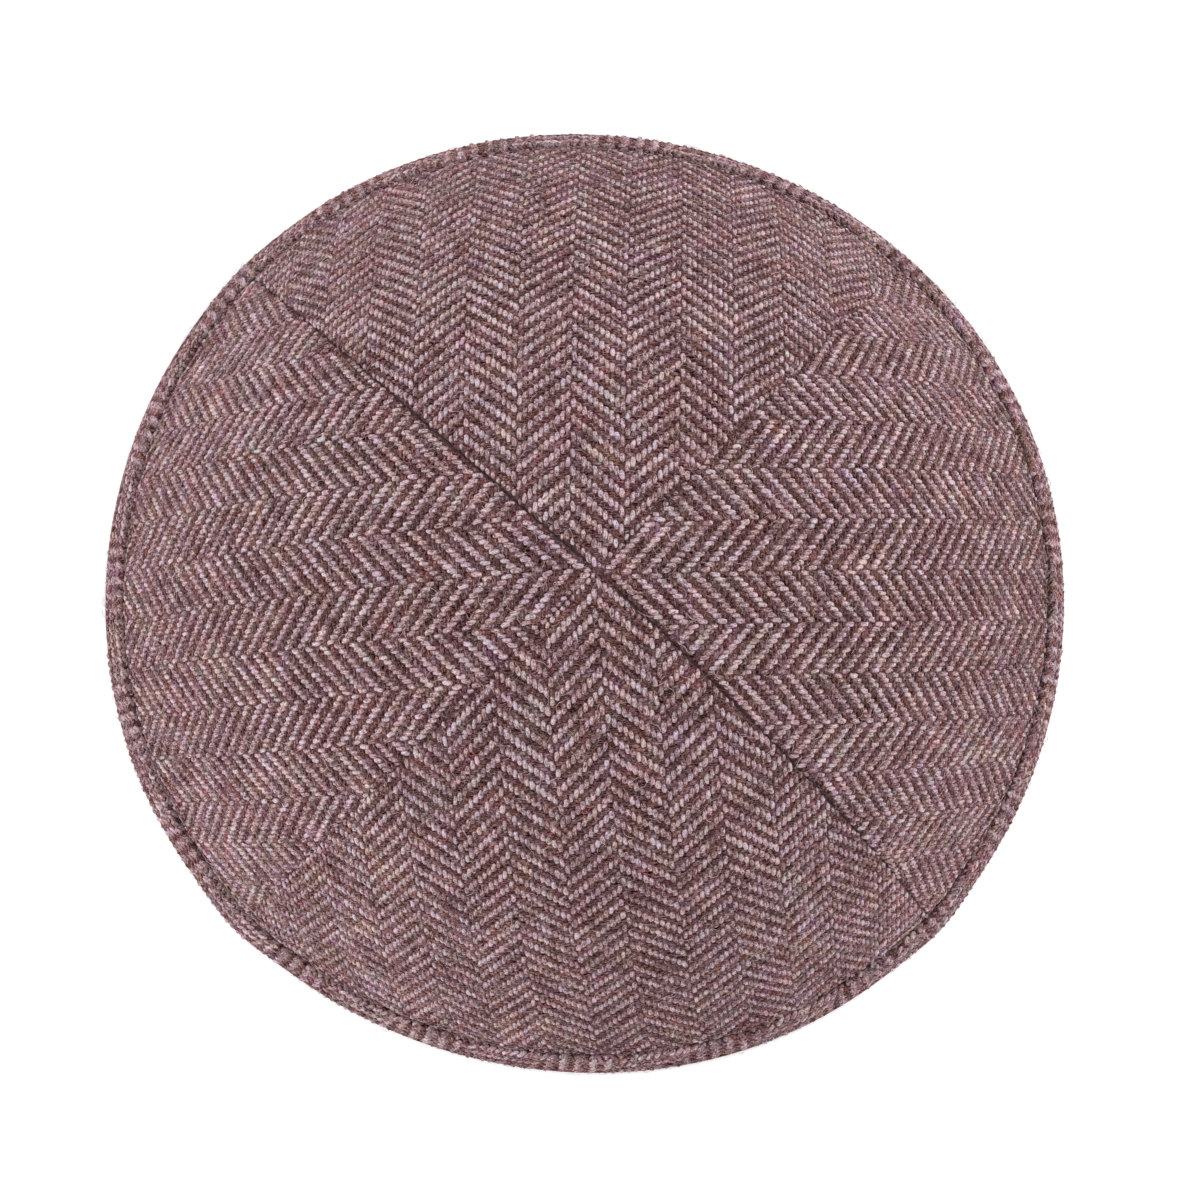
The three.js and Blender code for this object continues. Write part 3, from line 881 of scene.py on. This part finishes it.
def binding_section():
    """The strip's outline in radius and height, with rounded corners, from the inner edge of
    its outer leg round the outside and back, and the cloth's distance from the top of that leg."""
    outer, outer_inside = -BINDING_PROUD, BINDING_CLOTH - BINDING_PROUD
    inner_inside = outer_inside + 2 * EDGE_GAP + STITCHED_CLOTH
    inner, fold = inner_inside + BINDING_CLOTH, EDGE_INSIDE - FOLD_ROOM

    def on_leg(up, below):
        return np.array([
            RIM_RADIUS - up * math.cos(RIM_SLOPE) - below * math.sin(RIM_SLOPE),
            up * math.sin(RIM_SLOPE) - below * math.cos(RIM_SLOPE),
        ])

    def foot(below):
        return on_leg(below / math.tan(RIM_SLOPE), below)

    corners = [
        (on_leg(BINDING_HEIGHT, outer_inside), 0.0003), (on_leg(BINDING_HEIGHT, outer), 0.0006),
        (foot(outer), 0.0010), (foot(inner), 0.0010),
        (on_leg(INNER_LEG, inner), 0.0006), (on_leg(INNER_LEG, inner_inside), 0.0003),
        (on_leg(fold, inner_inside), 0.0004), (on_leg(fold, outer_inside), 0.0004),
    ]
    points, share = [], np.linspace(0, 1, CORNER_POINTS)[:, None]
    for k, (corner, cut) in enumerate(corners):
        next_corner, next_cut = corners[(k + 1) % len(corners)]
        before, after = corners[k - 1][0] - corner, next_corner - corner
        start = corner + before / np.linalg.norm(before) * cut
        stop = corner + after / np.linalg.norm(after) * cut
        points.append(start * (1 - share) ** 2 + 2 * corner * share * (1 - share) + stop * share**2)
        if k in (1, 4):
            leg_end = next_corner - after / np.linalg.norm(after) * next_cut
            points.append(stop + (leg_end - stop) * np.linspace(0, 1, LEG_POINTS + 2)[1:-1, None])
    points = np.concatenate(points)
    steps = np.linalg.norm(np.diff(points, axis=0), axis=1)
    length = np.concatenate([[0], np.cumsum(steps)])
    return points, length - length[CORNER_POINTS + CORNER_POINTS // 2]


def binding_cloth():
    """The strip's closed body, the sheet of its outer leg and of the edge turned under at
    the top of it, how far round it is, and where the sheet starts and ends."""
    section, down = binding_section()
    azimuth = BIAS_JOIN + np.linspace(0, 2 * math.pi, BIAS_STEPS + 1)
    uneven = sum(depth * np.sin(repeats * azimuth + start) for depth, repeats, start in EDGE_WAVES)
    rise = np.clip((section[:, 1] - 0.003) / 0.003, 0, 1)
    points = set_out(
        section[None, :, 0] - uneven[:, None] * rise * math.cos(RIM_SLOPE),
        section[None, :, 1] + uneven[:, None] * rise * math.sin(RIM_SLOPE),
        azimuth[:, None] + 0 * down,
    )
    rim = set_out(np.full(len(azimuth), RIM_RADIUS), 0.0, azimuth)
    along = np.concatenate([[0], np.cumsum(np.linalg.norm(np.diff(rim, axis=0), axis=1))])
    s, t = np.meshgrid(along, down, indexing="ij")
    cos, sin = math.cos(BIAS), math.sin(BIAS)
    uv = np.stack([s * cos + t * sin, t * cos - s * sin], axis=-1)
    count = len(down)
    i, j = np.meshgrid(np.arange(BIAS_STEPS), np.arange(count), indexing="ij")
    k = (j + 1) % count
    i, after = i * count, (i + 1) * count
    unrolled = np.stack([i + j, i + k, after + k, after + j], axis=-1).reshape(-1, 4)
    faces = unrolled % (BIAS_STEPS * count)
    body = mesh_of("binding", points[:-1], faces, uv.reshape(-1, 2)[unrolled], BIAS_UV_START)
    leg = slice(3, 2 * CORNER_POINTS + LEG_POINTS + 2)
    bed_points, bed_uv = points[:, leg], uv[:, leg].reshape(-1, 2)
    quads = grid_quads(len(azimuth), bed_points.shape[1])[:, [0, 3, 2, 1]]
    bed = mesh_of("binding_bed", bed_points, quads, bed_uv[quads], BIAS_UV_START)
    round_way, down_way = np.gradient(bed_points, axis=0), np.gradient(bed_points, axis=1)
    round_way /= np.linalg.norm(round_way, axis=-1, keepdims=True)
    down_way /= np.linalg.norm(down_way, axis=-1, keepdims=True)
    name_values(bed, "warp_way", (down_way * cos - round_way * sin).reshape(-1, 3))
    name_values(bed, "weft_way", (down_way * sin + round_way * cos).reshape(-1, 3))
    return body, bed, (bed_uv.min(axis=0), bed_uv.max(axis=0)), along[-1], (down[leg][0], down[leg][-1])


def on_strip(places):
    """Which places on the cloth lie on the strip's outer leg."""
    s = places[:, 0] * math.cos(BIAS) - places[:, 1] * math.sin(BIAS)
    t = places[:, 0] * math.sin(BIAS) + places[:, 1] * math.cos(BIAS)
    return (s > 0) & (s < strip_length) & (t > strip_side[0]) & (t < strip_side[1])


binding_body, binding_bed, strip_corners, strip_length, strip_side = binding_cloth()
binding = add_object("binding", binding_body)
binding_body.materials.append(drawn_weave("tweed on the bias", BIAS_PITCH, 1.0))
beds["binding"] = add_object("bed_binding", binding_bed)
binding_floats = lay_floats(
    "binding", beds["binding"], strip_corners, BIAS_PITCH, BIAS_SHIFT, 90, -0.17,
    start=BIAS_UV_START, chosen=on_strip,
)
cloths["binding"] = (binding, *binding_floats)
for piece in cloths["binding"]:
    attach(piece, "root")
    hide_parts("edge_binding")

# Loose wool
# Short fibres have worked out of the yarns and lie curled over the whole cap. Most are
# pale, some are dark, and a few are the red and orange of the weft's flecks.


def fibre_tree():
    """Strews short curled fibres over a surface."""
    tree, given = new_tree("Loose fibres", "GeometryNodeTree", {
        "Geometry": "Geometry", "Float": "Density Length Thickness Lift", "Int": "Seed", "Material": "Wool",
    }, {"Geometry": "Geometry"})
    strewn = add_node(tree, "GeometryNodeDistributePointsOnFaces",
                      {"Mesh": given["Geometry"], "Density": given["Density"], "Seed": given["Seed"]})
    lift = times(tree, given["Lift"], vary(tree, given, 0.75, 1.5, 1))
    up = scaled(tree, strewn.outputs["Normal"], lift)
    lifted = put(tree, strewn.outputs["Points"], "Offset", up)
    radius = add_math(tree, "DIVIDE", given["Thickness"], times(tree, given["Length"], 2.0))
    ins = {"Resolution": 3, "Radius": radius}
    profile = add_node(tree, "GeometryNodeCurvePrimitiveCircle", ins).outputs[0]
    shapes = tree.nodes.new("GeometryNodeJoinGeometry")
    for bow, rise, back in (
        (0.30, 0.10, -0.12), (0.05, 0.16, 0.22), (-0.35, 0.06, -0.10), (0.18, 0.22, 0.30), (0.55, 0.12, 0.45),
    ):
        curve = add_node(tree, "GeometryNodeCurvePrimitiveBezierSegment", {
            "Resolution": 3, "Start": (-0.5, 0, -0.03), "Start Handle": (-0.2, bow, rise),
            "End Handle": (0.2, back, rise * 0.7), "End": (0.5, bow * 0.3, -0.02),
        })
        tube = add_node(tree, "GeometryNodeCurveToMesh",
                        {"Curve": curve.outputs[0], "Profile Curve": profile, "Fill Caps": True})
        shape = add_node(tree, "GeometryNodeGeometryToInstance", {0: tube.outputs[0]})
        tree.links.new(shape.outputs[0], shapes.inputs[0])
    tilt = joined(tree, *(
        vary(tree, given, low, high, shift)
        for low, high, shift in ((-0.12, 0.12, 2), (-0.16, 0.16, 3), (0, 6.2832, 4))
    ))
    turned = turned_by(tree, strewn.outputs["Rotation"], tilt)
    ins = {4: 0, 5: 4, "Seed": given["Seed"]}
    which = add_node(tree, "FunctionNodeRandomValue", ins, data_type="INT").outputs[2]
    size = times(tree, given["Length"], vary(tree, given, 0.45, 1.45, 5))
    fibres = add_node(tree, "GeometryNodeInstanceOnPoints", {
        "Points": lifted, "Instance": shapes.outputs[0], "Pick Instance": True, "Instance Index": which,
        "Rotation": turned, "Scale": size,
    })
    close_tree(tree, fibres.outputs[0], given, given["Wool"])
    return tree


def fibre_material():
    material, tree, shader = new_material("loose wool")
    shade = add_node(tree, "ShaderNodeAttribute", attribute_name="shade").outputs["Fac"]
    colour = ramp(tree, shade, (
        (0.0, (0.035, 0.014, 0.015)), (0.25, (0.085, 0.035, 0.032)), (0.45, (0.30, 0.175, 0.165)),
        (0.70, (0.55, 0.40, 0.39)), (0.92, (0.78, 0.66, 0.60)), (0.965, (0.50, 0.11, 0.06)),
        (1.0, (0.42, 0.16, 0.05)),
    ))
    tree.links.new(colour, shader.inputs["Base Color"])
    set_inputs(shader, {"Roughness": 0.8, "Specular IOR Level": 0.25})
    return material


FIBRE_TREE = fibre_tree()
LOOSE_WOOL = fibre_material()
FLUFF = {"Density": 400000.0, "Length": 0.0019, "Lift": 0.00036, "Thickness": 0.00005, "Wool": LOOSE_WOOL}
STRIP_FLUFF = {**FLUFF, "Density": 150000.0, "Length": 0.0015, "Lift": 0.0003}
fluff = {}
for number, (side, bed) in enumerate(beds.items()):
    fluff[side] = add_object(f"fluff_{side}", bed.data.copy())
    values = {**(STRIP_FLUFF if side == "binding" else FLUFF), "Seed": 200 + number}
    run_tree(fluff[side], FIBRE_TREE, values)
    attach(fluff[side], "root")
    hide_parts("edge_binding" if side == "binding" else f"panel_{side}")
    bpy.data.objects.remove(bed)

# Floor, light and camera
# A white sheet that glows a little under soft even light, so that hardly any shadow is
# left on it, seen from almost straight above.
floor_material, _, floor_shader = new_material("pale floor")
set_inputs(floor_shader, {"Base Color": (0.9, 0.9, 0.9, 1), "Roughness": 0.9,
                          "Emission Color": (1, 1, 1, 1), "Emission Strength": 0.25})
FLOOR_HALF, FLOOR_HEIGHT = 3.0, -0.00002
FLOOR_CORNERS = ((-1, -1), (1, -1), (1, 1), (-1, 1))
floor_points = np.array([(x * FLOOR_HALF, y * FLOOR_HALF, FLOOR_HEIGHT) for x, y in FLOOR_CORNERS])
floor = add_object("floor", mesh_of("floor", floor_points, np.array([[0, 1, 2, 3]])))
floor.data.materials.append(floor_material)

world = bpy.data.worlds.new("studio")
world.use_nodes = True
set_inputs(world.node_tree.nodes["Background"], {"Color": (1, 1, 1, 1), "Strength": 0.47})
bpy.context.scene.world = world
bpy.context.scene.view_settings.view_transform = "Standard"

for name, place, size, power in (
    ("overhead", (0.0, 0.0, 1.6), 1.5, 7.0),
    ("left_softbox", (-1.3, -0.1, 0.55), 1.0, 12.5),
    ("right_softbox", (1.25, 0.5, 0.55), 1.0, 13.5),
    ("back_softbox", (0.2, 1.3, 0.55), 1.0, 1.8),
    ("front_softbox", (0.0, -1.3, 0.55), 1.0, 2.8),
):
    light = bpy.data.lights.new(name, "AREA")
    light.shape = "DISK"
    light.size = size
    light.energy = power
    lamp = add_object(name, light)
    lamp.location = place
    lamp.rotation_euler = (-Vector(place)).to_track_quat("-Z", "Y").to_euler()

CAMERA_DISTANCE = 1.3
FRAME_WIDTH = 0.2148  # of the picture at the height of the rim
TILT_FRONT, TILT_LEFT = math.radians(4.2), math.radians(1.65)
AIM = Vector((0.0026, 0.0003, 0))
camera_data = bpy.data.cameras.new("camera")
camera_data.sensor_width = 36
camera_data.lens = 36 * CAMERA_DISTANCE / FRAME_WIDTH
camera = add_object("camera", camera_data)
away = Vector((-math.tan(TILT_LEFT), -math.tan(TILT_FRONT), 1)).normalized()
camera.location = AIM + away * CAMERA_DISTANCE
right = Vector((0, 1, 0)).cross(away).normalized()
camera.rotation_mode = "QUATERNION"
camera.rotation_quaternion = Matrix((right, away.cross(right), away)).transposed().to_quaternion()
bpy.context.scene.camera = camera
